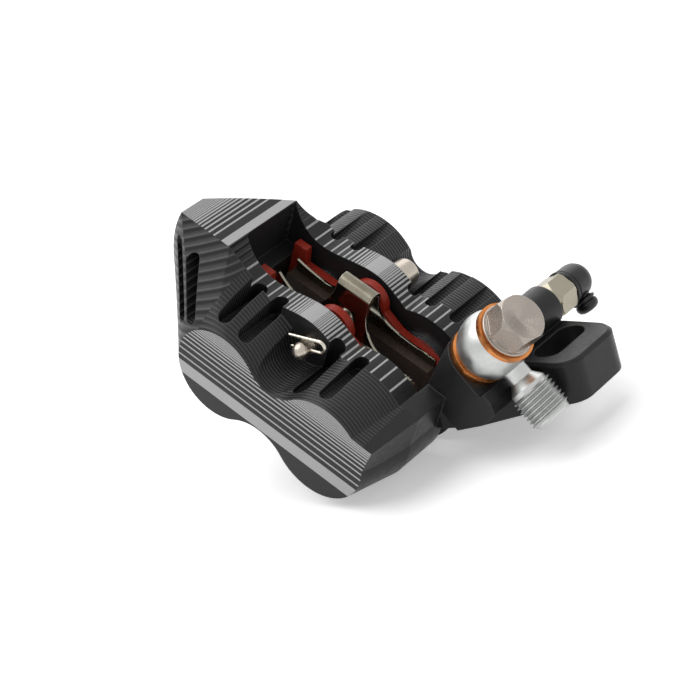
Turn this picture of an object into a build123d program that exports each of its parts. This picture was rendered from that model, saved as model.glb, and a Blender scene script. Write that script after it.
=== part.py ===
from build123d import *
from math import cos, radians, sin, sqrt
import os

os.makedirs("parts", exist_ok=True)

# Driving sizes, in millimetres and degrees
post_spacing = 74.2
slot_width = 6.8
slot_length = 14.5
ear_thickness = 9.5
ear_front = 10.0
ear_back = 9.7
ear_reach = 9.4
small_piston = 16.0
large_piston = 18.0
piston_spacing = 27.8
half_width = 27.6
rotor_diameter = 180.0
rotor_gap = 4.4
piston_line_tilt = 35.0

# Place of the piston line, from the middle of the two posts
pistons_x = -6.3
pistons_z = 14.5
rotor_offset = 18.9

# Clearances
running_clearance = 0.05
loose_clearance = 0.3
overrun = 1.0

# Walls of the body
lobe_wall = 5.5
lobe_front_wall = 2.9
bay_half = 8.25
rail_thickness = 6.0
front_wall = 5.4
bore_floor = half_width - front_wall
rail_outer = bay_half + rail_thickness
rotor_slot = 5.2
rim_height = 7.8
rotor_clearance = 1.0

small_x = -piston_spacing / 2
large_x = piston_spacing / 2
small_r = small_piston / 2
large_r = large_piston / 2
small_lobe = small_r + lobe_wall
large_lobe = large_r + lobe_wall

# The piston line's own directions and planes
along = Vector(cos(radians(piston_line_tilt)), 0, -sin(radians(piston_line_tilt)))
upward = Vector(sin(radians(piston_line_tilt)), 0, cos(radians(piston_line_tilt)))
pistons_middle = Vector(pistons_x, -rotor_offset, pistons_z)
side = Plane(origin=pistons_middle, x_dir=along, z_dir=(0, -1, 0))
plan = Plane(origin=pistons_middle, x_dir=along, z_dir=upward)
end_on = Plane(origin=pistons_middle, x_dir=(0, -1, 0), z_dir=-along)

# Pad bay, as places along and above the piston line
bay_left = -26.4
bay_right = 23.2
abutment_left = -22.6
bay_floor = -11.4
bay_roof = 9.2

# Bridge and rails seen from the side
bridge_end = -40.0
bridge_top = 20.6
bridge_foot = 10.0
rail_low = 11.4
pin_x = -1.1
pin_z = 11.0
pin_hump = 5.2
body_right = 28.0
waist = 6.0
rail_crest = [(-16.9, 14.0), (pin_x, pin_z + pin_hump), (7.9, 12.4), (bay_right, rail_low)]

# The bridge's end seen from above, as places along the piston line and to the front
bridge_bend = [(bridge_end, -7.3), (-31.9, 2.8), (-20.4, rail_outer)]

# Pad pin, with the seat for its head and the bowl milled round its front end
pin_r = 2.0
pin_head_r = 3.8
head_seat_r = 4.6
bowl_r = 5.4
bowl_z = 10.8

# Back of the body
cap_thread = 1.6
cap_height = 5.8
cap_seal_height = 1.2
cap_step = half_width - cap_height - cap_seal_height

# Seal grooves in the bores
seal_width = 2.6
seal_depth = 1.5
seal_setback = 3.0

# Banjo seat and its bolt, in the posts' directions
seat_angle = 34.0
seat_x = 28.7
seat_y = -16.5
seat_z = 14.1
seat_radius = 7.2
banjo_bolt_r = 3.0
banjo_bolt_reach = 9.0
washer_r = 6.6
washer_thickness = 1.1
washer_bore = 3.15
seat_dir = Vector(cos(radians(seat_angle)), 0, sin(radians(seat_angle)))
stub_dir = Vector(sin(radians(seat_angle)), 0, -cos(radians(seat_angle)))
seat = Plane(origin=(seat_x, seat_y, seat_z), x_dir=(0, 1, 0), z_dir=seat_dir)

# Bleed nipple and its boss
nipple_x = 28.0
nipple_z = 12.8
boss_r = 4.9
boss_end = 8.8
boss_start = -6.0
nipple_r = 3.0
nipple_reach = 9.0
bleed = Plane(origin=(nipple_x, boss_end, nipple_z), x_dir=(1, 0, 0), z_dir=(0, 1, 0))

# Hollows between the two lobes, above and below
front_dip_r = 7.5
front_sag_r = 10.5
rear_edge = 0.8

# Wall at the front left, from the bridge's edge down to the small lobe
wall_top_right = (-26.1, bridge_top)
wall_left = (-38.8, 5.0)
wall_right_angle = 62.0
wall_low_angle = 215.0
wall_low_turn = wall_low_angle - 360.0
wall_face_start = 190.0
wall_face_end = 110.0

# Windows milled in that wall: middle, width, length and lean
windows = [(-32.4, 10.6, 2.9, 16.5, -44.5), (-27.9, 12.0, 3.2, 13.0, -47.0)]
window_depth = 12.0

# Shoulder to the right of the large lobe, at the rail and at the front face
shoulder_rear = [(14.0, rail_low), (body_right, rail_low), (body_right, 0.0), (25.0, -9.0), (14.0, -10.0)]
shoulder_front = [(20.5, 9.6), (26.4, 9.4), (25.6, 3.8), (24.4, -4.3), (16.0, -6.0)]

# Slots milled across the front between the fins: place along, and floor
front_slots = [(-17.2, 9.5), (-11.5, 9.4), (4.7, 5.6), (10.9, 10.2)]
slot_cut = 3.2
slot_rear = 11.2
slot_front = 25.4

# Grooves milled across the back: place along, floor at the rail and floor at the rear face
back_grooves = [
    (-23.3, 5.0, 9.6), (-17.1, 10.6, 13.2), (-11.5, 10.7, 13.2),
    (4.8, 6.0, 10.4), (9.9, 11.2, 13.6), (16.4, 11.2, 13.8)
]
groove_width = 2.6
groove_rear = 13.2

# Block under the banjo seat, along the stub and out from the seat
block_reach = 11.6
block_depth = 12.0
block_toe = 5.0
boss_depth = 15.0
lip_start = 6.9
lip_flat = 9.1
lip_height = 1.4

# Ears and their arms, seen from above
ear_corner = 5.0
ear_edge = 0.8
ear_edge_slope = 45.0
arm_top = 7.6
arm_root = 2.1
right_arm = [
    (35.0, -15.8), (28.0, -21.6), (20.0, -23.7), (8.0, -23.7), (8.0, ear_back),
    (post_spacing / 2, ear_back), (post_spacing / 2 + arm_root, -ear_front)
]
left_arm = [
    (-post_spacing / 2, ear_back), (-12.0, ear_back), (-12.0, -16.0), (-26.0, -12.0),
    (-post_spacing / 2, -ear_front)
]


def hollow(lobe_small, lobe_large, hollow_r, way):
    """Give three points of the hollow between the lobes, above (1) or below (-1) the piston line."""
    from_small = lobe_small + hollow_r
    from_large = lobe_large + hollow_r
    middle_x = small_x + (from_small ** 2 - from_large ** 2 + piston_spacing ** 2) / (2 * piston_spacing)
    middle_z = way * sqrt(from_small ** 2 - (middle_x - small_x) ** 2)
    share_small = lobe_small / from_small
    share_large = lobe_large / from_large
    on_small = (small_x + (middle_x - small_x) * share_small, middle_z * share_small)
    on_large = (large_x + (middle_x - large_x) * share_large, middle_z * share_large)
    return on_small, (middle_x, middle_z - way * hollow_r), on_large


def two_lobes(lobe_small, lobe_large):
    """Give the arcs round the two lobes and the hollows between them, three points each."""
    dip = hollow(lobe_small, lobe_large, front_dip_r, 1)
    sag = hollow(lobe_small, lobe_large, front_sag_r, -1)
    round_large = (dip[2], (large_x + lobe_large, 0), sag[2])
    round_small = (sag[0], (small_x - lobe_small, 0), dip[0])
    return dip, round_large, (sag[2], sag[1], sag[0]), round_small


def on_lobe(lobe_r, angle):
    """Give the point at an angle on a round over the small piston."""
    return small_x + lobe_r * cos(radians(angle)), lobe_r * sin(radians(angle))


# Caliper body
small_face = small_r + lobe_front_wall
large_face = large_r + lobe_front_wall
with BuildPart() as caliper_body:
    # Front lobes, drawn in towards the flat outer face
    with BuildSketch(side.offset(rail_outer)):
        with BuildLine():
            for arc in two_lobes(small_lobe, large_lobe):
                ThreePointArc(*arc)
        make_face()
    with BuildSketch(side.offset(half_width)):
        with BuildLine():
            for arc in two_lobes(small_face, large_face):
                ThreePointArc(*arc)
        make_face()
    loft(ruled=True)
    # Wall from the bridge's edge down to the small lobe
    with BuildSketch(side.offset(rail_outer)):
        with BuildLine():
            Line((bridge_end, bridge_top), wall_top_right)
            Line(wall_top_right, on_lobe(small_lobe, wall_right_angle))
            ThreePointArc(on_lobe(small_lobe, wall_right_angle), on_lobe(small_lobe, -wall_right_angle),
                          on_lobe(small_lobe, wall_low_angle))
            ThreePointArc(on_lobe(small_lobe, wall_low_angle), wall_left, (bridge_end, bridge_top))
        make_face()
    with BuildSketch(side.offset(half_width)):
        with BuildLine():
            for turn_start, turn_end in (
                    (wall_face_start, wall_face_end), (wall_face_end, wall_right_angle),
                    (wall_right_angle, wall_low_turn), (wall_low_angle, wall_face_start)):
                turn_middle = (turn_start + turn_end) / 2
                ThreePointArc(on_lobe(small_face, turn_start), on_lobe(small_face, turn_middle),
                              on_lobe(small_face, turn_end))
        make_face()
    loft(ruled=True)
    # Shoulder to the right of the large lobe
    with BuildSketch(side.offset(rail_outer)):
        with BuildLine():
            Polyline(shoulder_rear, close=True)
        make_face()
    with BuildSketch(side.offset(half_width)):
        with BuildLine():
            Polyline(shoulder_front, close=True)
        make_face()
    loft(ruled=True)
    # Rails and bridge, as deep as the pad bay and its two rails
    with BuildSketch(side.offset(-rail_outer)):
        with BuildLine():
            for arc in two_lobes(small_lobe, large_lobe):
                ThreePointArc(*arc)
        make_face()
        with BuildLine():
            top = Line((bridge_end, bridge_top), (bay_left, bridge_top))
            crest = Spline([top @ 1] + rail_crest)
            Polyline([
                crest @ 1, (body_right, rail_low), (body_right, 0), (large_x, -waist),
                (small_x, -waist), on_lobe(small_lobe, wall_low_angle)
            ])
            ThreePointArc(on_lobe(small_lobe, wall_low_angle), wall_left, top @ 0)
        make_face()
    extrude(amount=2 * rail_outer)
    # The bridge narrows to its end, seen from above
    with BuildSketch(plan.offset(bridge_top + overrun)):
        with BuildLine():
            bend = Spline(bridge_bend)
            Polyline([
                bend @ 1, (bay_left, rail_outer + overrun), (bridge_end - overrun, rail_outer + overrun),
                (bridge_end - overrun, -bay_half), bend @ 0
            ])
        make_face()
    extrude(amount=-2 * bridge_top, mode=Mode.SUBTRACT)
    # Back lobes
    with BuildSketch(side.offset(-half_width)):
        with BuildLine():
            for arc in two_lobes(small_lobe, large_lobe):
                ThreePointArc(*arc)
        make_face()
    extrude(amount=half_width - rail_outer)
    chamfer(caliper_body.faces().sort_by(Axis.Y)[-1].edges(), rear_edge)
    # Windows, slots and grooves milled in the walls
    for window_x, window_z, window_width, window_length, window_lean in windows:
        with BuildSketch(side.offset(half_width)):
            with Locations((window_x, window_z)):
                SlotOverall(window_length, window_width, rotation=window_lean)
        extrude(amount=-window_depth, mode=Mode.SUBTRACT)
    for slot_x, slot_floor in front_slots:
        with BuildSketch(plan.offset(slot_floor)):
            with Locations((slot_x, -(slot_rear + slot_front) / 2)):
                SlotOverall(slot_front - slot_rear, slot_cut, rotation=90)
        extrude(amount=bridge_top - slot_floor + overrun, mode=Mode.SUBTRACT)
    for groove_x, rail_floor, rear_floor in back_grooves:
        with BuildSketch(end_on.offset(-groove_x - groove_width / 2)):
            with BuildLine():
                Polyline([
                    (-groove_rear, rail_floor), (-half_width - overrun, rear_floor),
                    (-half_width - overrun, bridge_top + overrun), (-groove_rear, bridge_top + overrun)
                ], close=True)
            make_face()
        extrude(amount=groove_width, mode=Mode.SUBTRACT)
        with BuildSketch(plan.offset(rail_floor)):
            with Locations((groove_x, groove_rear)):
                Circle(groove_width / 2)
        extrude(amount=bridge_top, mode=Mode.SUBTRACT)
    # Round boss and block that carry the banjo seat, with a lip beside the washer
    with BuildSketch(seat):
        Circle(seat_radius)
    extrude(amount=-boss_depth)
    with BuildSketch(Plane(origin=seat.origin + Vector(0, seat_radius, 0), x_dir=stub_dir, z_dir=(0, -1, 0))):
        with BuildLine():
            Polyline([
                (0, 0), (0, -block_depth), (lip_flat, -block_depth), (block_reach, -block_toe),
                (block_reach, 0), (lip_flat, lip_height), (lip_start, lip_height), (lip_start, 0)
            ], close=True)
        make_face()
    extrude(amount=2 * seat_radius)
    # Ears, each with the arm that carries it
    for way, arm in ((1, right_arm), (-1, left_arm)):
        with BuildSketch(Plane.XY):
            with BuildLine():
                Polyline(arm, close=True)
            make_face()
        extrude(amount=arm_top)
        for ear_level, ear_rise, ear_slope in ((0, ear_thickness - ear_edge, 0),
                                               (ear_thickness - ear_edge, ear_edge, ear_edge_slope)):
            with BuildSketch(Plane.XY.offset(ear_level)):
                with Locations((way * post_spacing / 2, (ear_back - ear_front) / 2)):
                    RectangleRounded(2 * ear_reach, ear_front + ear_back, ear_corner)
            extrude(amount=ear_rise, taper=ear_slope)
    # Bleed boss
    with BuildSketch(bleed):
        Circle(boss_r)
    extrude(amount=-(boss_end - boss_start))
    # Pad bay and the slot that the rotor runs in
    with BuildSketch(side.offset(-bay_half)):
        with BuildLine():
            Polyline([
                (bay_left, bridge_top + 2 * overrun), (bay_left, bay_roof), (abutment_left, bay_roof),
                (abutment_left, bay_floor), (bay_right, bay_floor),
                (bay_right, bridge_top + 2 * overrun), (bay_left, bridge_top + 2 * overrun)
            ])
        make_face()
    extrude(amount=2 * bay_half, mode=Mode.SUBTRACT)
    with BuildSketch(side.offset(-rotor_slot / 2)):
        with Locations((0, rim_height - rotor_diameter / 2)):
            Circle(rotor_diameter / 2 + rotor_clearance)
    extrude(amount=rotor_slot, mode=Mode.SUBTRACT)
    # Bores, with a groove for each piston seal
    for bore_x, bore_r in ((small_x, small_r), (large_x, large_r)):
        with BuildSketch(side.offset(-half_width - overrun)):
            with Locations((bore_x, 0)):
                Circle(bore_r + running_clearance)
        extrude(amount=half_width + overrun + bore_floor, mode=Mode.SUBTRACT)
        with BuildSketch(side.offset(-half_width - overrun)):
            with Locations((bore_x, 0)):
                Circle(bore_r + cap_thread)
        extrude(amount=half_width + overrun - cap_step, mode=Mode.SUBTRACT)
        for groove_start in (bay_half + seal_setback, -bay_half - seal_setback - seal_width):
            with BuildSketch(side.offset(groove_start)):
                with Locations((bore_x, 0)):
                    Circle(bore_r + seal_depth)
            extrude(amount=seal_width, mode=Mode.SUBTRACT)
    # Hole for the pad pin through both rails
    with BuildSketch(side.offset(-half_width)):
        with Locations((pin_x, pin_z)):
            Circle(pin_r + running_clearance)
    extrude(amount=2 * half_width, mode=Mode.SUBTRACT)
    # Seat for the pin's head and the bowl round its front end
    with BuildSketch(side.offset(-rail_outer)):
        with Locations((pin_x, pin_z)):
            Circle(head_seat_r)
    extrude(amount=-half_width, mode=Mode.SUBTRACT)
    with BuildSketch(side.offset(rail_outer)):
        with Locations((pin_x, bowl_z)):
            Circle(bowl_r)
    extrude(amount=half_width - rail_outer + overrun, mode=Mode.SUBTRACT)
    # Slots in the ears
    with BuildSketch(Plane.XY.offset(-overrun)):
        with Locations((-post_spacing / 2, 0), (post_spacing / 2, 0)):
            SlotOverall(slot_length, slot_width, rotation=90)
    extrude(amount=ear_thickness + 2 * overrun, mode=Mode.SUBTRACT)
    # Threaded holes for the banjo bolt and the bleed nipple
    with BuildSketch(seat):
        Circle(banjo_bolt_r)
    extrude(amount=-banjo_bolt_reach, mode=Mode.SUBTRACT)
    with BuildSketch(bleed):
        Circle(nipple_r)
    extrude(amount=-nipple_reach, mode=Mode.SUBTRACT)
caliper_body.part.label = "caliper_body"
export_step(caliper_body.part, "parts/caliper_body.step")

# Pads, pistons and seals
friction_thickness = 3.0
plate_thickness = 2.0
friction_face = rotor_gap / 2
plate_face = friction_face + friction_thickness
pad_back = plate_face + plate_thickness
plate_top = bay_roof - loose_clearance
pad_ear_r = 4.7
pad_tab_height = 13.0
pad_tab_width = 3.6
friction_inset = 2.0
friction_top = 6.8
piston_length = 12.0
piston_wall = 2.2
piston_hollow = 8.5
piston_chamfer = 0.5

for piston_name, piston_x, piston_r in (("small", small_x, small_r), ("large", large_x, large_r)):
    for place, facing in (("front", 1), ("back", -1)):
        with BuildPart() as piston:
            with BuildSketch(side.offset(facing * pad_back)):
                with Locations((piston_x, 0)):
                    Circle(piston_r)
            extrude(amount=facing * piston_length)
            ends = piston.faces().filter_by(Axis.Y).sort_by(Axis.Y)
            closed_end = ends[0] if facing == 1 else ends[-1]
            chamfer(closed_end.edges(), piston_chamfer)
            with BuildSketch(side.offset(facing * pad_back)):
                with Locations((piston_x, 0)):
                    Circle(piston_r - piston_wall)
            extrude(amount=facing * piston_hollow, mode=Mode.SUBTRACT)
        piston.part.label = f"{piston_name}_piston_{place}"
        export_step(piston.part, f"parts/{piston_name}_piston_{place}.step")

        with BuildPart() as piston_seal:
            seal_start = facing * (bay_half + seal_setback + running_clearance)
            with BuildSketch(side.offset(seal_start)):
                with Locations((piston_x, 0)):
                    Circle(piston_r + seal_depth - running_clearance)
                    Circle(piston_r + running_clearance, mode=Mode.SUBTRACT)
            extrude(amount=facing * (seal_width - 2 * running_clearance))
        piston_seal.part.label = f"{piston_name}_seal_{place}"
        export_step(piston_seal.part, f"parts/{piston_name}_seal_{place}.step")

# Caps that close the two through bores
cap_recess = 0.4
cap_dish = 1.2
cap_rim = 4.8
cap_hole_r = 1.1
cap_hole_inset = 2.4
cap_hole_depth = 3.0
for cap_name, cap_x, cap_bore_r in (("small", small_x, small_r), ("large", large_x, large_r)):
    cap_r = cap_bore_r + cap_thread - running_clearance
    with BuildPart() as bore_cap:
        with BuildSketch(side.offset(-half_width + cap_recess)):
            with Locations((cap_x, 0)):
                Circle(cap_r)
        extrude(amount=cap_height - cap_recess)
        with BuildSketch(side.offset(-half_width + cap_recess)):
            with Locations((cap_x, 0)):
                Circle(cap_r - cap_rim)
        extrude(amount=cap_dish, mode=Mode.SUBTRACT)
        with BuildSketch(side.offset(-half_width + cap_recess)):
            with Locations((cap_x, 0)):
                with PolarLocations(cap_r - cap_hole_inset, 2):
                    Circle(cap_hole_r)
        extrude(amount=cap_hole_depth, mode=Mode.SUBTRACT)
    bore_cap.part.label = f"{cap_name}_bore_cap"
    export_step(bore_cap.part, f"parts/{cap_name}_bore_cap.step")

    with BuildPart() as cap_seal:
        with BuildSketch(side.offset(-cap_step)):
            with Locations((cap_x, 0)):
                Circle(cap_r)
                Circle(cap_bore_r + loose_clearance, mode=Mode.SUBTRACT)
        extrude(amount=-cap_seal_height)
    cap_seal.part.label = f"{cap_name}_cap_seal"
    export_step(cap_seal.part, f"parts/{cap_name}_cap_seal.step")

# Brake pads: a steel plate with a friction block on it
for place, facing in (("front", 1), ("back", -1)):
    with BuildPart() as pad_plate:
        with BuildSketch(side.offset(facing * plate_face)):
            with BuildLine():
                Polyline([
                    (abutment_left + loose_clearance, bay_floor + loose_clearance),
                    (bay_right - loose_clearance, bay_floor + loose_clearance),
                    (bay_right - loose_clearance, plate_top - pad_tab_width / 2),
                    (pin_x + 2 * pad_ear_r, plate_top),
                    (pin_x + pad_ear_r, pin_z), (pin_x - pad_ear_r, pin_z),
                    (pin_x - 2 * pad_ear_r, plate_top),
                    (abutment_left + pad_tab_width + 2 * loose_clearance, plate_top),
                    (abutment_left + pad_tab_width, pad_tab_height),
                    (abutment_left + loose_clearance, pad_tab_height),
                    (abutment_left + loose_clearance, bay_floor + loose_clearance)
                ])
            make_face()
            with Locations((pin_x, pin_z)):
                Circle(pad_ear_r)
                Circle(pin_r + loose_clearance, mode=Mode.SUBTRACT)
        extrude(amount=facing * plate_thickness)
    pad_plate.part.label = f"pad_plate_{place}"
    export_step(pad_plate.part, f"parts/pad_plate_{place}.step")

    with BuildPart() as friction_block:
        with BuildSketch(side.offset(facing * friction_face)):
            with BuildLine():
                Polyline([
                    (abutment_left + friction_inset, friction_top),
                    (abutment_left + friction_inset, bay_floor + 2 * friction_inset),
                    (abutment_left + 2 * friction_inset, bay_floor + friction_inset),
                    (bay_right - 2 * friction_inset, bay_floor + friction_inset),
                    (bay_right - friction_inset, bay_floor + 2 * friction_inset),
                    (bay_right - friction_inset, friction_top - friction_inset),
                    (bay_right - 2 * friction_inset, friction_top),
                    (abutment_left + friction_inset, friction_top)
                ])
            make_face()
        extrude(amount=facing * friction_thickness)
    friction_block.part.label = f"friction_block_{place}"
    export_step(friction_block.part, f"parts/friction_block_{place}.step")

# Spring that spreads the pads, a folded sheet that straddles the pin
sheet = 0.6
leg_inner = 1.5
ridge_z = 17.6
ridge_half = 4.4
leaf_bow = (2.3, 13.0)
flare_foot = 8.4
spring_foot = friction_top + loose_clearance
flare_out = plate_face - sheet - running_clearance
wing_left = -20.0
wing_right = 19.2
left_wing = [(-6.2, 13.4), (-9.6, 9.9), (-14.6, 9.9)]
left_tip = (wing_left + sheet, 11.6)
right_wing = [(4.2, 13.4), (7.6, 10.3), (13.0, 9.3)]
right_tip = (wing_right, 9.2)
with BuildPart() as pad_spring:
    # Folded section, with its leaves bowed out to the two plates
    with BuildSketch(end_on.offset(-wing_right)):
        with Locations((0, ridge_z)):
            Circle(leg_inner + sheet)
            Circle(leg_inner, mode=Mode.SUBTRACT)
        with Locations((0, ridge_z / 2)):
            Rectangle(2 * ridge_z, ridge_z, mode=Mode.SUBTRACT)
        for hand in (1, -1):
            with BuildLine():
                inside = ThreePointArc(
                    (hand * leg_inner, ridge_z), (hand * leaf_bow[0], leaf_bow[1]),
                    (hand * flare_out, flare_foot))
                outside = ThreePointArc(
                    (hand * (leg_inner + sheet), ridge_z), (hand * (leaf_bow[0] + sheet), leaf_bow[1]),
                    (hand * (flare_out + sheet), flare_foot))
                Line(inside @ 0, outside @ 0)
                Polyline([
                    inside @ 1, (hand * flare_out, spring_foot), (hand * (flare_out + sheet), spring_foot),
                    outside @ 1
                ])
            make_face()
    extrude(amount=wing_right - wing_left)
    # Outline of the leaves seen from the side
    with BuildSketch(side.offset(-half_width)):
        with BuildLine():
            ridge_top = Line((pin_x - ridge_half, ridge_z + 2 * leg_inner),
                             (pin_x + ridge_half, ridge_z + 2 * leg_inner))
            right_edge = Spline([ridge_top @ 1, (pin_x + ridge_half, ridge_z)] + right_wing + [right_tip])
            left_edge = Spline([ridge_top @ 0, (pin_x - ridge_half, ridge_z)] + left_wing + [left_tip])
            Polyline([
                right_edge @ 1, (wing_right, spring_foot - sheet), (wing_left, spring_foot - sheet),
                (wing_left, flare_foot), left_edge @ 1
            ])
        make_face()
    extrude(amount=2 * half_width, mode=Mode.INTERSECT)
    with BuildSketch(side.offset(-half_width)):
        with Locations((pin_x, pin_z)):
            Circle(pin_r + 2 * loose_clearance)
    extrude(amount=2 * half_width, mode=Mode.SUBTRACT)
pad_spring.part.label = "pad_spring"
export_step(pad_spring.part, "parts/pad_spring.step")

# Pin that holds the pads, with a groove and a cross hole for its clip
pin_front = 19.6
pin_head_start = -rail_outer
pin_head_length = 6.2
head_taper = 6.0
head_edge = 0.9
clip_wire_r = 0.4
clip_room = 1.2
clip_place = 16.6
clip_angle = 26.0
neck_r = 1.45
ball_end_r = 2.0
with BuildPart() as pad_pin:
    with BuildSketch(side.offset(pin_head_start)):
        with Locations((pin_x, pin_z)):
            Circle(pin_r)
    extrude(amount=clip_place - clip_room - pin_head_start)
    with BuildSketch(side.offset(pin_head_start)):
        with Locations((pin_x, pin_z)):
            Circle(neck_r)
    extrude(amount=pin_front - pin_head_start - ball_end_r)
    with Locations(side.offset(pin_front - ball_end_r).location * Pos(pin_x, pin_z, 0)):
        Sphere(ball_end_r)
    with BuildSketch(side.offset(pin_head_start)):
        with Locations((pin_x, pin_z)):
            Circle(pin_head_r)
    extrude(amount=-pin_head_length, taper=head_taper)
    head_end = pad_pin.faces().filter_by(Axis.Y).sort_by(Axis.Y)[-1]
    fillet(head_end.edges(), head_edge)
    with BuildSketch(Plane(
            origin=side.offset(clip_place).from_local_coords((pin_x, pin_z, 0)),
            x_dir=(0, -1, 0),
            z_dir=along * cos(radians(clip_angle)) + upward * sin(radians(clip_angle)))):
        Circle(clip_wire_r + running_clearance)
    extrude(amount=2 * pin_r, both=True, mode=Mode.SUBTRACT)
pad_pin.part.label = "pad_pin"
export_step(pad_pin.part, "parts/pad_pin.step")

# Clip through the end of the pin
clip_tail = 3.4
clip_run = 4.6
clip_width = 2.7
clip_plane = Plane(
    origin=side.offset(clip_place).from_local_coords((pin_x, pin_z, 0)),
    x_dir=along * cos(radians(clip_angle)) + upward * sin(radians(clip_angle)),
    z_dir=(0, -1, 0))
with BuildPart() as pin_clip:
    with BuildLine(clip_plane) as clip_wire:
        leg = Line((-clip_tail, 0), (clip_run, 0))
        bend = ThreePointArc(leg @ 1, (clip_run + clip_width / 2, clip_width / 2), (clip_run, clip_width))
        back_leg = Line(bend @ 1, (-clip_tail, clip_width))
    with BuildSketch(Plane(origin=leg @ 0, z_dir=leg % 0)):
        Circle(clip_wire_r)
    sweep(path=clip_wire.wire())
pin_clip.part.label = "pin_clip"
export_step(pin_clip.part, "parts/pin_clip.step")

# Banjo: two washers, the ball with its threaded stub, and the hollow bolt
ball_height = 9.2
ball_r = 7.4
ball_middle = washer_thickness + ball_height / 2
stub_neck_r = 3.6
stub_thread_r = 4.9
stub_neck_end = 12.4
stub_end = 19.8
stub_bore = 2.0
bolt_flange_r = 5.9
bolt_flange = 1.3
bolt_hex = 10.0
bolt_hex_height = 5.4
crown_r = 4.7
crown_drop = 2.2
dimple_r = 3.4
dimple_depth = 1.1
dimple_slope = 50.0
stub_chamfer = 0.6
ball_centre = seat.offset(ball_middle).origin
stub_plane = Plane(origin=ball_centre, x_dir=(0, 1, 0), z_dir=stub_dir)
for washer_name, washer_start in (("inner", 0), ("outer", washer_thickness + ball_height)):
    with BuildPart() as banjo_washer:
        with BuildSketch(seat.offset(washer_start)):
            Circle(washer_r)
            Circle(washer_bore, mode=Mode.SUBTRACT)
        extrude(amount=washer_thickness)
    banjo_washer.part.label = f"banjo_washer_{washer_name}"
    export_step(banjo_washer.part, f"parts/banjo_washer_{washer_name}.step")

flat_half = ball_height / 2 - running_clearance
flat_r = sqrt(ball_r ** 2 - flat_half ** 2)
ball_bore = banjo_bolt_r + loose_clearance
with BuildPart() as banjo_fitting:
    # Ball with a flat for each washer, turned about the bolt
    with BuildSketch(stub_plane):
        with BuildLine():
            Line((ball_bore, -flat_half), (ball_bore, flat_half))
            Line((ball_bore, flat_half), (flat_r, flat_half))
            ThreePointArc((flat_r, flat_half), (ball_r, 0), (flat_r, -flat_half))
            Line((flat_r, -flat_half), (ball_bore, -flat_half))
        make_face()
    revolve(axis=Axis(ball_centre, seat_dir))
    # Neck and threaded stub, with the oil way through them
    with BuildSketch(stub_plane.offset(ball_bore + overrun)):
        Circle(stub_neck_r)
    extrude(amount=stub_neck_end - ball_bore)
    with BuildSketch(stub_plane.offset(stub_neck_end)):
        Circle(stub_thread_r)
    extrude(amount=stub_end - stub_neck_end)
    stub_ends = banjo_fitting.faces().filter_by(Axis(ball_centre, stub_dir)).edges()
    chamfer(stub_ends.filter_by(
        lambda edge: edge.geom_type == GeomType.CIRCLE and edge.radius > stub_neck_r), stub_chamfer)
    with BuildSketch(seat):
        Circle(ball_bore)
    extrude(amount=2 * ball_r, mode=Mode.SUBTRACT)
    with BuildSketch(stub_plane):
        Circle(stub_bore)
    extrude(amount=stub_end + overrun, mode=Mode.SUBTRACT)
banjo_fitting.part.label = "banjo_fitting"
export_step(banjo_fitting.part, "parts/banjo_fitting.step")

bolt_start = 2 * washer_thickness + ball_height
bolt_top = bolt_start + bolt_flange + bolt_hex_height - ball_middle
with BuildPart() as banjo_bolt:
    with BuildSketch(seat.offset(bolt_start)):
        Circle(banjo_bolt_r - running_clearance)
    extrude(amount=-(bolt_start + banjo_bolt_reach - overrun))
    with BuildSketch(seat.offset(bolt_start)):
        Circle(bolt_flange_r)
    extrude(amount=bolt_flange)
    with BuildSketch(seat.offset(bolt_start + bolt_flange)):
        RegularPolygon(bolt_hex / 2, 6, major_radius=False)
    extrude(amount=bolt_hex_height)
    # Corners of the hexagon turned down, and the dimple in its top
    with BuildSketch(stub_plane):
        with BuildLine():
            Polyline([
                (crown_r, bolt_top), (bolt_flange_r, bolt_top - crown_drop),
                (bolt_hex, bolt_top - crown_drop), (bolt_hex, bolt_top + overrun),
                (crown_r, bolt_top + overrun)
            ], close=True)
        make_face()
    revolve(axis=Axis(ball_centre, seat_dir), mode=Mode.SUBTRACT)
    with BuildSketch(seat.offset(ball_middle + bolt_top)):
        Circle(dimple_r)
    extrude(amount=-dimple_depth, taper=dimple_slope, mode=Mode.SUBTRACT)
banjo_bolt.part.label = "banjo_bolt"
export_step(banjo_bolt.part, "parts/banjo_bolt.step")

# Bleed nipple and its rubber cap
nipple_gap = 0.6
nipple_hex = 8.0
nipple_hex_length = 6.6
nozzle_r = 2.2
nozzle_length = 6.0
nozzle_bore = 0.9
cap_wall = 1.3
cap_length = 7.6
cap_nub_r = 2.5
cap_nub_length = 6.4
nub_lean = 20.0
hex_start = bleed.offset(nipple_gap)
hex_end = bleed.offset(nipple_gap + nipple_hex_length)
with BuildPart() as bleed_nipple:
    with BuildSketch(bleed.offset(overrun - nipple_reach)):
        Circle(nipple_r - running_clearance)
    extrude(amount=nipple_reach - overrun + nipple_gap)
    with BuildSketch(hex_start):
        RegularPolygon(nipple_hex / 2, 6, major_radius=False)
    extrude(amount=nipple_hex_length)
    hex_ends = bleed_nipple.faces().filter_by(Axis.Y).sort_by(Axis.Y)
    chamfer(hex_ends[-1].edges() + hex_ends[-2].edges().filter_by(GeomType.LINE), nipple_gap)
    with BuildSketch(hex_end):
        Circle(nozzle_r)
    extrude(amount=nozzle_length)
    with BuildSketch(hex_end.offset(nozzle_length)):
        Circle(nozzle_bore)
    extrude(amount=-(nozzle_length + nipple_hex_length), mode=Mode.SUBTRACT)
bleed_nipple.part.label = "bleed_nipple"
export_step(bleed_nipple.part, "parts/bleed_nipple.step")

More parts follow.
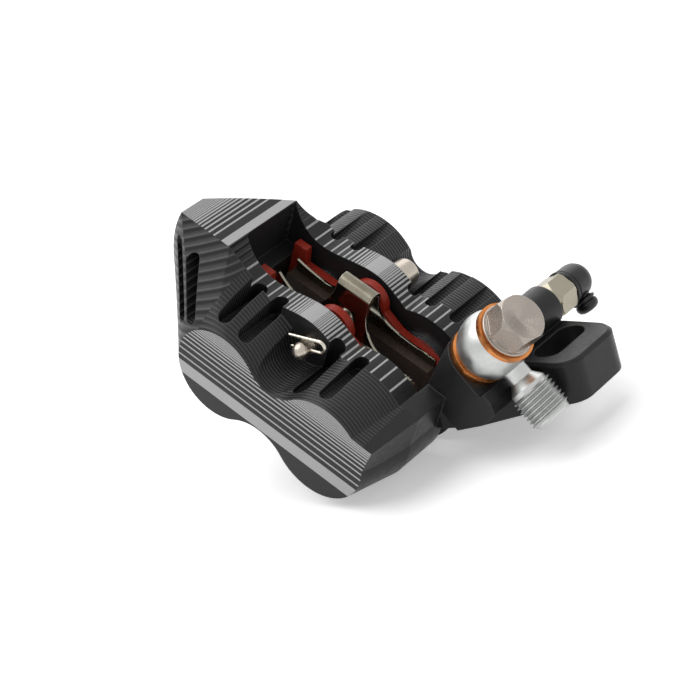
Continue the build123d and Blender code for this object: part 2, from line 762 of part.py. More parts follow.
with BuildPart() as bleed_cap:
    with BuildSketch(hex_end.offset(loose_clearance)):
        Circle(nozzle_r + loose_clearance + cap_wall)
    extrude(amount=cap_length)
    cap_end = bleed_cap.faces().sort_by(Axis.Y)[-1]
    fillet(cap_end.edges(), cap_wall)
    nub_plane = Plane(
        origin=hex_end.offset(cap_length - cap_nub_r - cap_wall / 2).origin,
        x_dir=(0, 1, 0), z_dir=(sin(radians(nub_lean)), 0, -cos(radians(nub_lean))))
    with BuildSketch(nub_plane):
        Circle(cap_nub_r)
    extrude(amount=cap_nub_length)
    fillet(bleed_cap.faces().sort_by(Axis.Z)[0].edges(), cap_wall)
    with BuildSketch(hex_end):
        Circle(nozzle_r + loose_clearance)
    extrude(amount=nozzle_length + loose_clearance, mode=Mode.SUBTRACT)
bleed_cap.part.label = "bleed_cap"
export_step(bleed_cap.part, "parts/bleed_cap.step")
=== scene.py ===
# Disc brake caliper for a bicycle, with its hose fitting and its bleed nipple
import bmesh
import bpy
import math
from mathutils import Matrix, Vector


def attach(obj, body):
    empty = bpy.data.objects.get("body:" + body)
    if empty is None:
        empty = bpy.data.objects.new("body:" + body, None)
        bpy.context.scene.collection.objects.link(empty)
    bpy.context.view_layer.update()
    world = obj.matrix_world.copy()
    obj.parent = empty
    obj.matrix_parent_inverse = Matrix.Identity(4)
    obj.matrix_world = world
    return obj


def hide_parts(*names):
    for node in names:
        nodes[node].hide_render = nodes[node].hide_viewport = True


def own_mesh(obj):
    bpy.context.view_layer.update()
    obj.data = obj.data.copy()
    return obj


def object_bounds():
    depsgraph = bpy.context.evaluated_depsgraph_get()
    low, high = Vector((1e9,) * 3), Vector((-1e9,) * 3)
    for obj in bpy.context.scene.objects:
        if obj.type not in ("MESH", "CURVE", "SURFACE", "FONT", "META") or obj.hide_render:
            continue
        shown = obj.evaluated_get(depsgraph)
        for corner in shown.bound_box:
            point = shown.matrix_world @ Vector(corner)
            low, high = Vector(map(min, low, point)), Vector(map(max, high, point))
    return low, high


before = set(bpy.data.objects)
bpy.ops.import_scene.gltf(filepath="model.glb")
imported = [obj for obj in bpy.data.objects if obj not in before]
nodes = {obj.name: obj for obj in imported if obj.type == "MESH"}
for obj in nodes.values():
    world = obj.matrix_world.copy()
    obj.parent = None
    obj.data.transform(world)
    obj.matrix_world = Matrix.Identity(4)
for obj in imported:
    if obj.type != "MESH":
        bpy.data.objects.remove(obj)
cad_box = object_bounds()
millimetre = 0.001

# Caliper body, milled from one block of aluminium and anodised black.
# The cutter leaves fine ridges on its curved walls. Light stripes are etched into its flat faces,
# close together over the lobes and the pin, and further apart away from them.
piston_line_tilt = math.radians(35.0)
pistons_middle = (-0.0063, -0.0189, 0.0145)
upward = (math.sin(piston_line_tilt), 0.0, math.cos(piston_line_tilt))
anodised_black = (0.016, 0.016, 0.017)
# Lighter black: on sharp edges it is wear and a painted highlight, and on the ridges' crests it is a painted
# highlight
worn_and_highlit_black = (0.17, 0.17, 0.175)
etched_grey = (0.47, 0.47, 0.47)
stripe_half = 0.21
stripe_share = 0.35
narrowest_gap = 0.05


def finish(name, colour, roughness, metallic=0.0):
    """Make the material of one finish, and give its nodes and its shader."""
    material = bpy.data.materials.new(name)
    material.use_nodes = True
    shader = material.node_tree.nodes["Principled BSDF"]
    shader.inputs["Base Color"].default_value = (*colour, 1.0)
    shader.inputs["Roughness"].default_value = roughness
    shader.inputs["Metallic"].default_value = metallic
    return material, material.node_tree, shader


def calc(tree, operation, *values):
    """Add one sum to a material and give its result."""
    node = tree.nodes.new("ShaderNodeMath")
    node.operation = operation
    for socket, value in zip(node.inputs, values):
        if isinstance(value, bpy.types.NodeSocket):
            tree.links.new(value, socket)
        else:
            socket.default_value = value
    return node.outputs["Value"]


def both(tree, *masks):
    """Give the part that all the masks share."""
    shared = masks[0]
    for mask in masks[1:]:
        shared = calc(tree, "MULTIPLY", shared, mask)
    return shared


def either(tree, *masks):
    """Give the part that any of the masks covers."""
    joined = masks[0]
    for mask in masks[1:]:
        joined = calc(tree, "MAXIMUM", joined, mask)
    return joined


def outside(tree, mask):
    """Give the part that a mask leaves out."""
    return calc(tree, "SUBTRACT", 1.0, mask)


def between(tree, value, low, high):
    """Give 1 where a value lies between two limits, and 0 elsewhere."""
    return both(tree, calc(tree, "GREATER_THAN", value, low), calc(tree, "LESS_THAN", value, high))


def places(tree, origin, turn):
    """Give the place on a piece in millimetres, from an origin and along turned directions."""
    coordinates = tree.nodes.new("ShaderNodeTexCoord")
    mapping = tree.nodes.new("ShaderNodeMapping")
    mapping.vector_type = "TEXTURE"
    mapping.inputs["Location"].default_value = origin
    mapping.inputs["Rotation"].default_value = turn
    mapping.inputs["Scale"].default_value = (millimetre, millimetre, millimetre)
    separate = tree.nodes.new("ShaderNodeSeparateXYZ")
    tree.links.new(coordinates.outputs["Object"], mapping.inputs["Vector"])
    tree.links.new(mapping.outputs["Vector"], separate.inputs["Vector"])
    return mapping.outputs["Vector"], separate.outputs["X"], separate.outputs["Y"], separate.outputs["Z"]


def facing(tree, direction):
    """Give how squarely a surface faces a direction, from -1 to 1."""
    geometry = tree.nodes.new("ShaderNodeNewGeometry")
    product = tree.nodes.new("ShaderNodeVectorMath")
    product.operation = "DOT_PRODUCT"
    product.inputs[1].default_value = direction
    tree.links.new(geometry.outputs["Normal"], product.inputs[0])
    return product.outputs["Value"]


def soft_edges(tree, radius, lowest, highest):
    """Round the sharp edges in the shading, and give the rounded normal and a mask of the edges."""
    rounding = tree.nodes.new("ShaderNodeBevel")
    rounding.samples = 6
    rounding.inputs["Radius"].default_value = radius * millimetre
    geometry = tree.nodes.new("ShaderNodeNewGeometry")
    product = tree.nodes.new("ShaderNodeVectorMath")
    product.operation = "DOT_PRODUCT"
    tree.links.new(rounding.outputs["Normal"], product.inputs[0])
    tree.links.new(geometry.outputs["Normal"], product.inputs[1])
    mask = tree.nodes.new("ShaderNodeMapRange")
    mask.inputs["From Min"].default_value = lowest
    mask.inputs["From Max"].default_value = highest
    tree.links.new(outside(tree, product.outputs["Value"]), mask.inputs["Value"])
    return rounding.outputs["Normal"], mask.outputs["Result"]


def mottle(tree, place, scale, lowest, highest):
    """Give a fine uneven value between two limits."""
    noise = tree.nodes.new("ShaderNodeTexNoise")
    noise.inputs["Scale"].default_value = scale
    noise.inputs["Detail"].default_value = 4.0
    tree.links.new(place, noise.inputs["Vector"])
    spread = tree.nodes.new("ShaderNodeMapRange")
    spread.inputs["From Min"].default_value = 0.3
    spread.inputs["From Max"].default_value = 0.7
    spread.inputs["To Min"].default_value = lowest
    spread.inputs["To Max"].default_value = highest
    tree.links.new(noise.outputs["Fac"], spread.inputs["Value"])
    return spread.outputs["Result"]


def two_tone(tree, mask, first, second):
    """Give one colour where a mask is 0 and another where it is 1."""
    mix = tree.nodes.new("ShaderNodeMix")
    mix.data_type = "RGBA"
    tree.links.new(mask, mix.inputs["Factor"])
    sockets = [socket for socket in mix.inputs if socket.type == "RGBA"]
    for socket, colour in zip(sockets, (first, second)):
        if isinstance(colour, bpy.types.NodeSocket):
            tree.links.new(colour, socket)
        else:
            socket.default_value = (*colour, 1.0)
    return [socket for socket in mix.outputs if socket.type == "RGBA"][0]


def relief(tree, shader, height, depth, normal=None):
    """Raise a surface by a height pattern, as deep as a size in millimetres."""
    bump = tree.nodes.new("ShaderNodeBump")
    bump.inputs["Strength"].default_value = 1.0
    bump.inputs["Distance"].default_value = depth * millimetre
    tree.links.new(height, bump.inputs["Height"])
    if normal:
        tree.links.new(normal, bump.inputs["Normal"])
    tree.links.new(bump.outputs["Normal"], shader.inputs["Normal"])


def stripes(tree, position, limit, first, rate):
    """Give thin stripes that crowd towards a limit, and an even tone where they would touch."""
    distance = calc(tree, "ABSOLUTE", calc(tree, "SUBTRACT", limit, position))
    gap = calc(tree, "MAXIMUM", distance, narrowest_gap)
    pitch = calc(tree, "MULTIPLY", gap, rate)
    shrinkage = calc(tree, "LOGARITHM", calc(tree, "DIVIDE", abs(limit - first), gap), math.e)
    count = calc(tree, "DIVIDE", shrinkage, rate)
    phase = calc(tree, "FRACT", calc(tree, "ADD", count, 0.5))
    from_middle = calc(tree, "ABSOLUTE", calc(tree, "SUBTRACT", phase, 0.5))
    half_width = calc(tree, "MINIMUM", calc(tree, "DIVIDE", stripe_half, pitch), stripe_share)
    line = calc(tree, "LESS_THAN", from_middle, half_width)
    crowded = calc(tree, "LESS_THAN", pitch, stripe_half)
    return calc(tree, "ADD", both(tree, line, outside(tree, crowded)),
                calc(tree, "MULTIPLY", crowded, 2 * stripe_share))


def wear(node, material):
    """Give a CAD node its finish."""
    if nodes[node].material_slots:
        nodes[node].material_slots[0].material = material
    else:
        nodes[node].data.materials.append(material)


body_black, tree, shader = finish("body_black", anodised_black, 0.36)
shader.inputs["Specular IOR Level"].default_value = 0.25
place, along, across, up = places(tree, pistons_middle, (0.0, piston_line_tilt, 0.0))
to_front = facing(tree, (0.0, -1.0, 0.0))
to_top = facing(tree, upward)
# Front face: a broad band along the foot of the lobes, and stripes above it.
# Each set of stripes is given by the place it crowds towards, its first stripe and how fast it crowds.
front_depth = -27.4
front_squareness = 0.985
front_stripes = (12.2, -1.4, 0.15)
front_stripes_foot = -2.2
front_band = (-6.1, -2.9)
front_face = both(tree, calc(tree, "GREATER_THAN", to_front, front_squareness),
                  calc(tree, "LESS_THAN", across, front_depth))
face_stripes = both(tree, stripes(tree, up, *front_stripes),
                    calc(tree, "GREATER_THAN", up, front_stripes_foot))
front_mark = both(tree, front_face, either(tree, face_stripes, between(tree, up, *front_band)))
# Top: a band beside the pad bay, stripes that crowd to the bridge's tip, stripes along both rails,
# and an even band over the pin
top_foot = 11.0
top_squareness = 0.3
top_width = (-14.4, 14.4)
bridge_stripes = (-40.4, -30.7, 0.15)
bridge_stripes_end = -29.9
bridge_band = (-28.6, -26.5)
left_stripes = (-2.9, -22.1, 0.165)
left_reach = (-24.5, -2.9)
right_stripes = (-4.5, 19.8, 0.128)
right_reach = (-4.5, 20.4)
pin_band = (-5.4, -2.0)
top_face = both(tree, calc(tree, "GREATER_THAN", to_top, top_squareness),
                calc(tree, "COMPARE", to_front, 0.0, 0.1), between(tree, across, *top_width),
                calc(tree, "GREATER_THAN", up, top_foot))
tip_stripes = both(tree, stripes(tree, along, *bridge_stripes),
                   calc(tree, "LESS_THAN", along, bridge_stripes_end))
rail_stripes = either(
    tree, both(tree, stripes(tree, along, *left_stripes), between(tree, along, *left_reach)),
    both(tree, stripes(tree, along, *right_stripes), between(tree, along, *right_reach)))
top_bands = either(tree, between(tree, along, *bridge_band), between(tree, along, *pin_band))
top_mark = both(tree, top_face, either(tree, tip_stripes, rail_stripes, top_bands))
mark = either(tree, front_mark, top_mark)
# Ridges left by the cutter: level round the left end, and along the lobes elsewhere
level_pitch = 1.6
lobe_pitch = 0.8
ridge_depth = 0.25
left_end_limit = -21.0
left_end_top = 0.9
right_end_limit = 24.0
lobe_foot = -12.0
rail_width = (-14.3, 14.3)
bay_start = -28.0
bay_width = (-7.3, 7.3)
level = places(tree, (0.0, 0.0, 0.0), (0.0, 0.0, 0.0))[3]
pad_bay = both(tree, calc(tree, "GREATER_THAN", along, bay_start), between(tree, across, *bay_width))
left_end = both(tree, calc(tree, "LESS_THAN", along, left_end_limit), outside(tree, pad_bay),
                calc(tree, "LESS_THAN", to_top, left_end_top))
level_run = both(tree, left_end, calc(tree, "DIVIDE", level, level_pitch))
lobe_run = both(tree, outside(tree, left_end), calc(tree, "DIVIDE", across, lobe_pitch))
ridge_run = calc(tree, "MULTIPLY", calc(tree, "ADD", level_run, lobe_run), math.pi)
ridges = outside(tree, calc(tree, "ABSOLUTE", calc(tree, "SINE", ridge_run)))
milled = both(tree, calc(tree, "LESS_THAN", along, right_end_limit),
              calc(tree, "GREATER_THAN", up, lobe_foot), between(tree, to_front, -0.98, 0.98),
              either(tree, left_end, outside(tree, between(tree, across, *rail_width))))
# The crests of the cutter's ridges are painted lighter: a painted highlight
crest_highlights = both(tree, milled, outside(tree, mark), calc(tree, "POWER", ridges, 3.0))
rounded, edge = soft_edges(tree, 0.35, 0.05, 0.4)
crest_highlight_share = calc(tree, "ADD", 0.45, calc(tree, "MULTIPLY", left_end, 0.1))
# Sharp edges are painted lighter too, partly as wear and partly as a painted highlight
wear_and_highlight = either(tree, calc(tree, "MULTIPLY", edge, 0.7), both(tree, crest_highlights, crest_highlight_share))
plain = two_tone(tree, wear_and_highlight, anodised_black, worn_and_highlit_black)
tree.links.new(two_tone(tree, mark, plain, etched_grey), shader.inputs["Base Color"])
rough = either(tree, mottle(tree, place, 0.8, 0.30, 0.42), calc(tree, "MULTIPLY", mark, 0.5))
tree.links.new(rough, shader.inputs["Roughness"])
ridge_share = calc(tree, "ADD", 0.3, calc(tree, "MULTIPLY", left_end, 0.7))
grain = mottle(tree, place, 3.0, 0.0, 0.03)
relief(tree, shader, calc(tree, "ADD", both(tree, ridges, milled, ridge_share), grain), ridge_depth, rounded)
wear("caliper_body", body_black)


# Caps that close the two bores at the back, turned from aluminium, anodised black and screwed in.
# Their faces show the rings of the lathe.
def turned(name, colour, edge_highlight_colour, roughness, metallic, origin, turn, spacing, depth, edge_radius=0.2):
    """Make a finish with lathe rings about an axis, and edges painted lighter as a painted highlight."""
    material, tree, shader = finish(name, colour, roughness, metallic)
    place, sideways, outward, through = places(tree, origin, turn)
    squares = calc(tree, "ADD", calc(tree, "POWER", sideways, 2.0), calc(tree, "POWER", outward, 2.0))
    run = calc(tree, "ADD", calc(tree, "SQRT", squares), through)
    rounded, edge = soft_edges(tree, edge_radius, 0.05, 0.5)
    # The edges are painted lighter: a painted highlight
    tree.links.new(two_tone(tree, edge, colour, edge_highlight_colour), shader.inputs["Base Color"])
    tree.links.new(mottle(tree, place, 1.5, roughness * 0.85, roughness * 1.25), shader.inputs["Roughness"])
    rings = calc(tree, "SINE", calc(tree, "MULTIPLY", run, math.tau / spacing))
    relief(tree, shader, calc(tree, "ADD", rings, mottle(tree, place, 6.0, 0.0, 0.25)), depth, rounded)
    return material


bore_distance = 13.9
along_y = (math.pi / 2, 0.0, 0.0)
for cap_node, cap_along in (("small_bore_cap", -bore_distance), ("large_bore_cap", bore_distance)):
    cap_middle = (
        pistons_middle[0] + cap_along * math.cos(piston_line_tilt) * millimetre, pistons_middle[1],
        pistons_middle[2] - cap_along * math.sin(piston_line_tilt) * millimetre)
    wear(cap_node, turned(cap_node + "_black", anodised_black, (0.12, 0.12, 0.125), roughness=0.34,
                          metallic=0.0, origin=cap_middle, turn=along_y, spacing=0.4, depth=0.012))


# Seals round the pistons and under the caps, moulded in black rubber with a square section.
# Those of the pistons sit in grooves turned into the bores.
def speckled(name, colour, second, roughness, metallic, scale, depth, edge_highlight_colour=None, edge_radius=0.2):
    """Make a finish with fine specks in its colour, its gloss and its surface, and edges painted lighter as a
    painted highlight when an edge colour is given.
    """
    material, tree, shader = finish(name, colour, roughness, metallic)
    place = places(tree, (0.0, 0.0, 0.0), (0.0, 0.0, 0.0))[0]
    specks = mottle(tree, place, scale, 0.0, 1.0)
    mixed = two_tone(tree, specks, colour, second)
    rounded = None
    if edge_highlight_colour:
        # Edges painted lighter: a painted highlight
        rounded, edge = soft_edges(tree, edge_radius, 0.05, 0.5)
        mixed = two_tone(tree, edge, mixed, edge_highlight_colour)
    tree.links.new(mixed, shader.inputs["Base Color"])
    gloss = mottle(tree, place, scale / 2, roughness * 0.85, roughness * 1.2)
    tree.links.new(gloss, shader.inputs["Roughness"])
    relief(tree, shader, specks, depth, rounded)
    return material


seal_rubber = speckled("seal_rubber", (0.015, 0.015, 0.016), (0.03, 0.03, 0.03), roughness=0.6, metallic=0.0,
                       scale=4.0, depth=0.01)
for seal_node in ("small_seal_front", "small_seal_back", "large_seal_front", "large_seal_back",
                  "small_cap_seal", "large_cap_seal"):
    wear(seal_node, seal_rubber)

# Pistons, turned from stainless steel and ground on the outside.
# The oil behind each one pushes it out through its seal, against the plate of a pad.
piston_steel = speckled("piston_steel", (0.56, 0.56, 0.57), (0.62, 0.62, 0.63), roughness=0.22, metallic=1.0,
                        scale=2.0, depth=0.004)
for piston_node in ("small_piston_front", "small_piston_back", "large_piston_front", "large_piston_back"):
    wear(piston_node, piston_steel)

# Brake pads: a steel plate painted dark red, with a block of pressed friction compound on it.
# Both hang on the pin by the round tabs of their plates.
# The plates' edges are painted a lighter red: a painted highlight
pad_red = speckled("pad_red", (0.26, 0.018, 0.008), (0.33, 0.026, 0.012), roughness=0.45, metallic=0.0,
                   scale=2.5, depth=0.015, edge_highlight_colour=(0.42, 0.05, 0.025))
pad_red.node_tree.nodes["Principled BSDF"].inputs["Specular IOR Level"].default_value = 0.25
# The friction compound is painted near black, darker than its own colour, as painted shade deep in the pad
# bay
friction_with_painted_shade = speckled("friction_with_painted_shade", (0.022, 0.015, 0.012), (0.075, 0.045, 0.030),
                             roughness=0.75, metallic=0.0, scale=3.5, depth=0.05)
for side_name in ("front", "back"):
    wear("pad_plate_" + side_name, pad_red)
    wear("friction_block_" + side_name, friction_with_painted_shade)

# Pad spring, folded from thin spring steel with a dark bronze temper.
# It straddles the pin between the pads. Its sheared edges are painted bright, as a painted highlight.
merge_distance = 0.000001


def piece(name, shape, material, body, smooth=35.0):
    """Close a shape's mesh and make it a piece that rides on a body."""
    bmesh.ops.remove_doubles(shape, verts=shape.verts, dist=merge_distance)
    bmesh.ops.recalc_face_normals(shape, faces=shape.faces)
    mesh = bpy.data.meshes.new(name)
    shape.to_mesh(mesh)
    shape.free()
    mesh.shade_smooth()
    mesh.set_sharp_from_angle(angle=math.radians(smooth))
    mesh.materials.append(material)
    made = bpy.data.objects.new(name, mesh)
    bpy.context.scene.collection.objects.link(made)
    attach(made, body)
    return made


spring_bronze = speckled("spring_bronze", (0.20, 0.18, 0.14), (0.30, 0.28, 0.22), roughness=0.15,
                         metallic=1.0, scale=0.35, depth=0.002, edge_highlight_colour=(0.80, 0.78, 0.70),
                         edge_radius=0.25)
spring = bmesh.new()
spring.from_mesh(nodes["pad_spring"].data)
folded_spring = piece("folded_pad_spring", spring, spring_bronze, "caliper")
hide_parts("pad_spring")
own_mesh(folded_spring)

# Pad pin, turned from steel, with a round head at the back. It carries both pads and the spring.
# A bright wire clip goes through its front end.
pin_along = -1.1
pin_up = 11.0
tilt_cos = math.cos(piston_line_tilt)
tilt_sin = math.sin(piston_line_tilt)
pin_middle = (pistons_middle[0] + (pin_along * tilt_cos + pin_up * tilt_sin) * millimetre, pistons_middle[1],
              pistons_middle[2] + (pin_up * tilt_cos - pin_along * tilt_sin) * millimetre)
wear("pad_pin", turned("pin_steel", (0.47, 0.42, 0.36), (0.62, 0.58, 0.52), roughness=0.30, metallic=1.0,
                       origin=pin_middle, turn=along_y, spacing=0.5, depth=0.008))
wear("pin_clip", speckled("clip_wire", (0.55, 0.51, 0.43), (0.64, 0.60, 0.52), roughness=0.24, metallic=1.0,
                          scale=3.0, depth=0.004))

# Hose fitting: a polished ball between two copper washers, with a neck and a threaded stub for the
# hose nut. It turns about the hollow bolt until that is tight.
seat_angle = math.radians(34.0)
bolt_direction = Vector((math.cos(seat_angle), 0.0, math.sin(seat_angle)))
stub_direction = Vector((math.sin(seat_angle), 0.0, -math.cos(seat_angle)))
across_direction = Vector((0.0, 1.0, 0.0))
seat_place = Vector((28.7, -16.5, 14.1)) * millimetre
ball_middle = 5.7
ball_half = 4.55
ball_radius = 7.4
ball_bore = 3.3
neck_radius = 2.75
neck_end = 9.4
thread_core = 4.2
thread_radius = 4.9
thread_start = 11.5
thread_pitch = 0.98
thread_turns = 7
stub_end = 19.8
stub_bore = 2.0
ball_centre = seat_place + bolt_direction * ball_middle * millimetre


def spun(shape, profile, centre, axis, outward, steps):
    """Spin a closed profile of radii and heights in millimetres about an axis."""
    corners = [shape.verts.new(centre + (outward * radius + axis * height) * millimetre)
               for radius, height in profile]
    lines = [shape.edges.new(pair) for pair in zip(corners, corners[1:] + corners[:1])]
    bmesh.ops.spin(shape, geom=corners + lines, cent=centre, axis=axis, angle=math.tau, steps=steps,
                   use_merge=True)


fitting = bmesh.new()
flat_angle = math.asin(ball_half / ball_radius)
arc_steps = 20
ball_profile = [(ball_bore, -ball_half)]
for step in range(arc_steps + 1):
    angle = flat_angle * (2 * step / arc_steps - 1)
    ball_profile.append((ball_radius * math.cos(angle), ball_radius * math.sin(angle)))
ball_profile.append((ball_bore, ball_half))
spun(fitting, ball_profile, ball_centre, bolt_direction, across_direction, 72)
stub_profile = [
    (stub_bore, 6.0), (neck_radius + 0.5, 6.0), (neck_radius, 7.2), (neck_radius, neck_end),
    (neck_radius + 0.1, neck_end + 0.1), (thread_core, thread_start - 0.2), (thread_core, thread_start),
    (thread_core, stub_end - 0.5), (thread_core - 0.4, stub_end), (stub_bore + 0.4, stub_end),
    (stub_bore, stub_end - 0.4)]
spun(fitting, stub_profile, ball_centre, stub_direction, across_direction, 64)
# Thread: a ridge wound along the stub, closed at both ends
ridge_start = thread_start + 0.25
ridge_foot = thread_core - 0.1
ridge_profile = [(ridge_foot, ridge_start), (thread_radius, ridge_start + thread_pitch * 0.45),
                 (ridge_foot, ridge_start + thread_pitch * 0.9)]
ridge = [fitting.verts.new(ball_centre + (across_direction * radius + stub_direction * height) * millimetre)
         for radius, height in ridge_profile]
ridge_lines = [fitting.edges.new(pair) for pair in zip(ridge, ridge[1:] + ridge[:1])]
wound_steps = thread_turns * 40
climb = stub_direction * thread_pitch * thread_turns / wound_steps * millimetre
bmesh.ops.spin(fitting, geom=ridge + ridge_lines, cent=ball_centre, axis=stub_direction,
               angle=math.tau * thread_turns, steps=wound_steps, dvec=climb)
bmesh.ops.holes_fill(fitting, edges=[line for line in fitting.edges if line.is_boundary], sides=3)
fitting_silver = speckled("fitting_silver", (0.50, 0.51, 0.50), (0.56, 0.57, 0.56), roughness=0.36,
                          metallic=1.0, scale=1.2, depth=0.001)
hose_fitting = piece("hose_fitting_ball", fitting, fitting_silver, "hose_fitting")
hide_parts("banjo_fitting")


# Bolt that holds the fitting, in titanium: a shank, a stepped flange and a hexagon.
# The lathe has rounded the hexagon's corners and dished its top.
def hexagon(shape, outline, centre, axis, corner, width, low, high):
    """Add a hexagon whose ends are turned to an outline of radii and heights in millimetres."""
    turn = Matrix((corner.cross(axis), corner, axis)).transposed().to_4x4()
    middle = centre + axis * (low + high) / 2 * millimetre
    bar = bmesh.new()
    corner_radius = width / math.sqrt(3) * millimetre
    bmesh.ops.create_cone(bar, cap_ends=True, segments=6, radius1=corner_radius, radius2=corner_radius,
                          depth=(high - low) * millimetre, matrix=Matrix.Translation(middle) @ turn)
    lathed = bmesh.new()
    spun(lathed, outline, centre, axis, corner, 96)
    bmesh.ops.remove_doubles(lathed, verts=lathed.verts, dist=merge_distance)
    bmesh.ops.recalc_face_normals(lathed, faces=lathed.faces)
    blanks = []
    for blank_name, blank in (("bar", bar), ("lathed", lathed)):
        mesh = bpy.data.meshes.new(blank_name)
        blank.to_mesh(mesh)
        blank.free()
        blanks.append(bpy.data.objects.new(blank_name, mesh))
        bpy.context.scene.collection.objects.link(blanks[-1])
    cut = blanks[0].modifiers.new("turned ends", "BOOLEAN")
    cut.operation = "INTERSECT"
    cut.object = blanks[1]
    bpy.context.view_layer.update()
    finished = blanks[0].evaluated_get(bpy.context.evaluated_depsgraph_get())
    shape.from_mesh(bpy.data.meshes.new_from_object(finished))
    for blank in blanks:
        bpy.data.objects.remove(blank)


bolt_width = 10.0
bolt_corner_turn = math.radians(50.0)
bolt_corner = (across_direction * math.cos(bolt_corner_turn)
               + bolt_direction.cross(across_direction) * math.sin(bolt_corner_turn))
bolt = bmesh.new()
hexagon(bolt, [(0.0, 6.9), (6.3, 6.9), (6.3, 10.0), (5.05, 12.3), (4.85, 12.4), (4.6, 12.35), (2.5, 11.75),
               (1.0, 11.2), (0.0, 11.0)], ball_centre, bolt_direction, bolt_corner, bolt_width, 7.0, 12.8)
spun(bolt, [(0.0, -14.5), (2.6, -14.5), (2.94, -14.1), (2.94, 5.7), (5.7, 5.7), (5.9, 5.9), (5.9, 6.3),
            (5.75, 6.45), (5.5, 6.5), (5.5, 7.0), (5.3, 7.1), (0.0, 7.1)],
     ball_centre, bolt_direction, across_direction, 96)
bolt_titanium = turned("bolt_titanium", (0.36, 0.32, 0.285), (0.60, 0.56, 0.52), roughness=0.28, metallic=1.0,
                       origin=tuple(ball_centre), turn=(0.0, math.pi / 2 - seat_angle, 0.0), spacing=0.4,
                       depth=0.018, edge_radius=0.12)
hose_bolt = piece("hose_bolt_head", bolt, bolt_titanium, "caliper", 20.0)
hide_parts("banjo_bolt")

# Copper washers on both sides of the ball.
# The bolt squeezes them, and they seal the oil's way from the body into the fitting.
copper = speckled("washer_copper", (0.62, 0.22, 0.06), (0.72, 0.29, 0.10), roughness=0.28, metallic=1.0,
                  scale=0.8, depth=0.002)
wear("banjo_washer_inner", copper)
wear("banjo_washer_outer", copper)

# Bleed nipple, turned from hexagon brass bar and plated with nickel, with a cone towards its boss.
# Its nozzle is under the cap.
nipple_width = 8.0
nipple_place = Vector((28.0, 8.8, 12.8)) * millimetre
nipple_direction = Vector((0.0, 1.0, 0.0))
nipple_corner_turn = math.radians(10.0)
nipple_corner = Vector((math.sin(nipple_corner_turn), 0.0, math.cos(nipple_corner_turn)))
nipple = bmesh.new()
hexagon(nipple, [(0.0, 0.6), (3.3, 0.6), (4.9, 2.7), (4.9, 6.5), (4.2, 7.2), (0.0, 7.2)],
        nipple_place, nipple_direction, nipple_corner, nipple_width, 0.5, 7.4)
spun(nipple, [(0.0, -8.7), (2.4, -8.7), (2.9, -8.2), (2.9, 0.4), (3.2, 0.55), (3.2, 0.7), (0.0, 0.7)],
     nipple_place, nipple_direction, nipple_corner, 64)
spun(nipple, [(0.9, 7.0), (2.2, 7.0), (2.2, 12.7), (1.8, 13.2), (0.9, 13.2)],
     nipple_place, nipple_direction, nipple_corner, 64)
nipple_plated = turned("nipple_plated", (0.34, 0.31, 0.245), (0.70, 0.66, 0.56), roughness=0.27, metallic=1.0,
                       origin=tuple(nipple_place), turn=along_y, spacing=0.5, depth=0.003, edge_radius=0.15)
plated_nipple = piece("nipple_hexagon", nipple, nipple_plated, "nipple", 20.0)
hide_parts("bleed_nipple")

# Cap of the nipple, moulded in black rubber: a thimble with a bead at its mouth, and a plug on its strap.
# It is pushed over the nozzle and pulls off by hand.
cap = bmesh.new()
spun(cap, [(2.4, 7.4), (4.15, 7.4), (4.35, 7.65), (4.35, 8.15), (4.15, 8.4), (3.9, 8.5), (3.9, 8.65),
           (4.15, 8.9), (4.1, 12.2), (3.9, 13.2), (3.4, 14.1), (2.6, 14.7), (1.4, 15.0), (0.0, 15.05),
           (0.0, 13.4), (2.4, 13.4)],
     nipple_place, nipple_direction, nipple_corner, 64)
plug_lean = math.radians(28.0)
plug_direction = Vector((math.sin(plug_lean), 0.0, -math.cos(plug_lean)))
plug_place = nipple_place + nipple_direction * 11.0 * millimetre
spun(cap, [(0.0, 2.8), (2.2, 2.8), (1.95, 3.9), (2.1, 4.1), (2.65, 4.3), (2.8, 4.6), (2.65, 4.9), (2.35, 5.0),
           (2.35, 5.15), (2.65, 5.35), (2.7, 6.1), (2.4, 6.8), (1.7, 7.25), (0.8, 7.4), (0.0, 7.4)],
     plug_place, plug_direction, nipple_direction, 48)
cap_rubber = speckled("cap_rubber", (0.007, 0.007, 0.008), (0.012, 0.012, 0.012), roughness=0.34,
                      metallic=0.0, scale=3.0, depth=0.01)
cap_rubber.node_tree.nodes["Principled BSDF"].inputs["Specular IOR Level"].default_value = 0.35
rubber_cap = piece("nipple_cap_rubber", cap, cap_rubber, "nipple_cap")
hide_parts("bleed_cap")

# Camera, on a long lens a little above the caliper's front corner.
# It leans with the picture, so the caliper's mounting plane tips to the right.
camera_data = bpy.data.cameras.new("camera")
camera_data.lens = 102.84
camera_data.sensor_width = 36.0
camera_data.clip_end = 20.0
camera = bpy.data.objects.new("camera", camera_data)
bpy.context.scene.collection.objects.link(camera)
camera_place = (0.2884, -0.2966, 0.1827)
picture_right = Vector((0.7394, 0.6128, -0.2789)).normalized()
picture_back = Vector((0.6708, -0.6345, 0.3840)).normalized()
picture_up = picture_back.cross(picture_right).normalized()
picture_right = picture_up.cross(picture_back).normalized()
camera_turn = Matrix((picture_right, picture_up, picture_back)).transposed()
camera.matrix_world = Matrix.Translation(camera_place) @ camera_turn.to_4x4()
bpy.context.scene.camera = camera

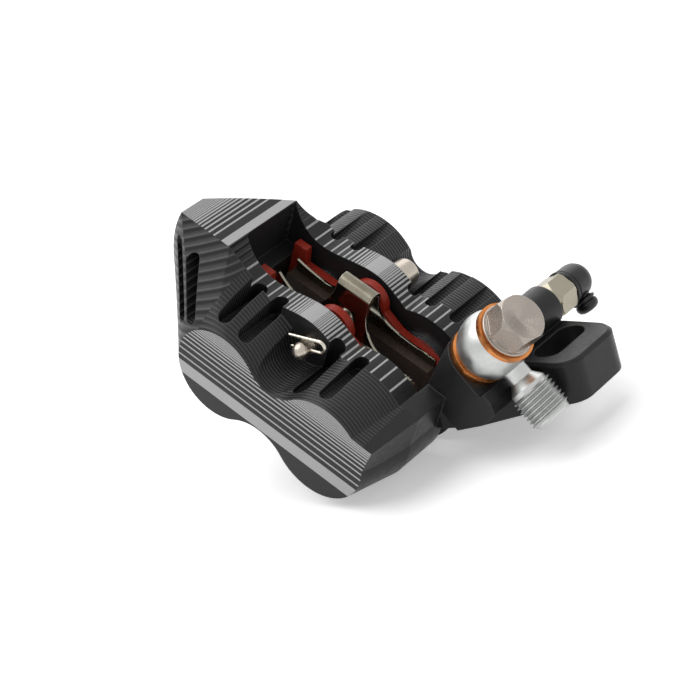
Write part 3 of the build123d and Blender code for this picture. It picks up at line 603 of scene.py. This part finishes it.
# Studio: a white floor that keeps the caliper's shadow, a white world and two wide, soft lamps.
# The key lamp stands high on the left, and the rim lamp stands behind.
floor_height = cad_box[0][2]
floor_size = 6.0
floor_glow = 0.4
fill_light = 0.45
floor_shape = bmesh.new()
bmesh.ops.create_grid(floor_shape, x_segments=1, y_segments=1, size=floor_size,
                      matrix=Matrix.Translation((0, 0, floor_height)))
floor_mesh = bpy.data.meshes.new("floor")
floor_shape.to_mesh(floor_mesh)
floor_shape.free()
floor = bpy.data.objects.new("floor", floor_mesh)
bpy.context.scene.collection.objects.link(floor)


def seen(tree):
    """Give 1 for what the camera sees, straight or in metal and glass, and 0 for light on a surface."""
    path = tree.nodes.new("ShaderNodeLightPath").outputs
    return either(tree, path["Is Camera Ray"], path["Is Glossy Ray"], path["Is Transmission Ray"])


floor_white, tree, shader = finish("floor_white", (0.9, 0.9, 0.9), 0.9)
floor_mesh.materials.append(floor_white)
shader.inputs["Emission Color"].default_value = (1.0, 1.0, 1.0, 1.0)
tree.links.new(calc(tree, "MULTIPLY", seen(tree), floor_glow), shader.inputs["Emission Strength"])

world = bpy.data.worlds.new("studio")
world.use_nodes = True
bpy.context.scene.world = world
background = world.node_tree.nodes["Background"]
background.inputs["Color"].default_value = (1.0, 1.0, 1.0, 1.0)
world_strength = calc(world.node_tree, "MAXIMUM", seen(world.node_tree), fill_light)
world.node_tree.links.new(world_strength, background.inputs["Strength"])

lamp_distance = 0.5
for lamp_name, lamp_direction, lamp_spread, lamp_strength in (
        ("key", (-0.30, -0.26, 0.91), 60.0, 1.5), ("rim", (-0.55, 0.63, 0.62), 60.0, 0.7)):
    lamp_data = bpy.data.lights.new(lamp_name, "SUN")
    lamp_data.angle = math.radians(lamp_spread)
    lamp_data.energy = lamp_strength
    lamp = bpy.data.objects.new(lamp_name, lamp_data)
    lamp.location = Vector(lamp_direction) * lamp_distance
    lamp.rotation_mode = "QUATERNION"
    lamp.rotation_quaternion = Vector(lamp_direction).to_track_quat("Z", "Y")
    bpy.context.scene.collection.objects.link(lamp)

bpy.context.scene.view_settings.view_transform = "Standard"
